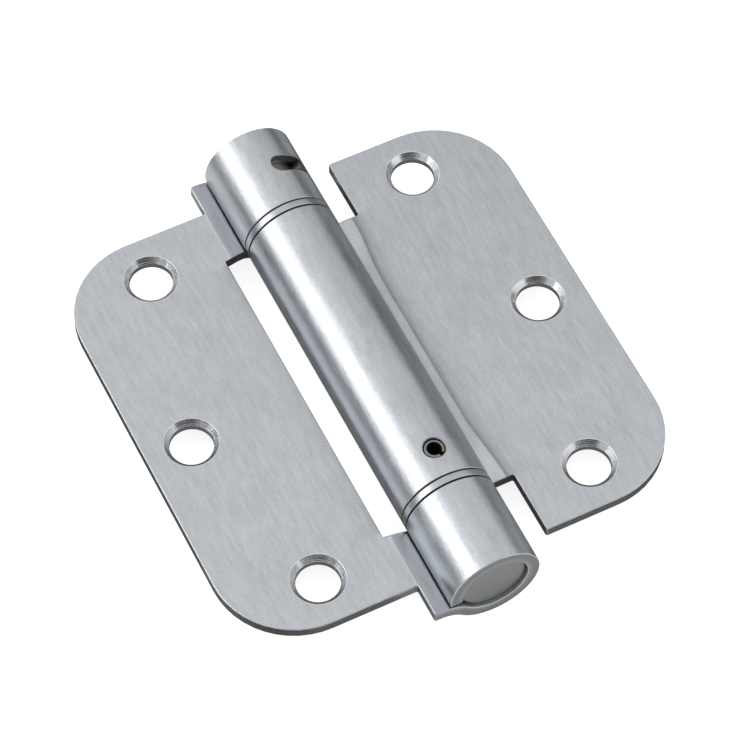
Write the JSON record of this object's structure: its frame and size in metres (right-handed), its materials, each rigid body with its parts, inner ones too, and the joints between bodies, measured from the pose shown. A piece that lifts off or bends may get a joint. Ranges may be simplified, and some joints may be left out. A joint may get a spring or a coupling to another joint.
{
  "type": "spring loaded door hinge",
  "caption": "Swaged door hinge with rounded leaf corners, a stout barrel round a torsion spring, and a slot for setting the spring's tension.",
  "frame": {"origin": "on the pin axis at the middle of the barrel", "axes": "+X across the door leaf, +Y along the pin to the end with the adjusting slot, +Z to the side that the screws enter from; leaves opened flat"},
  "size_m": [0.0888, 0.1024, 0.0176],
  "materials": {
    "leaf_chrome": "satin chrome plate on sheet steel",
    "ring_chrome": "bright plated steel",
    "plug_steel": "turned steel, dull plate",
    "pin_steel": "hardened steel",
    "spring_steel": "oiled spring wire"
  },
  "bodies": {
    "frame_leaf": {"frame_leaf": "leaf_chrome", "lower_bearing_ring": "ring_chrome", "upper_bearing_ring": "ring_chrome"},
    "door_leaf": {"door_leaf": "leaf_chrome", "lower_pivot_plug": "plug_steel", "roll_pin": "pin_steel", "torsion_spring": "spring_steel"},
    "adjuster": {"adjusting_plug": "plug_steel", "tension_pin": "pin_steel"}
  },
  "joints": [
    {"name": "leaf_swing", "type": "hinge", "parent": "frame_leaf", "child": "door_leaf", "pos_m": [0, 0, 0], "axis": [0, -1, 0], "range_deg": [0, 180], "stiffness_Nm_per_rad": 1.2, "deforming": ["torsion_spring"]},
    {"name": "tension_adjust", "type": "hinge", "parent": "frame_leaf", "child": "adjuster", "pos_m": [0, 0.0424, 0], "axis": [0, -1, 0], "range_deg": [0, 44], "stiffness_Nm_per_rad": 1.2}
  ]
}
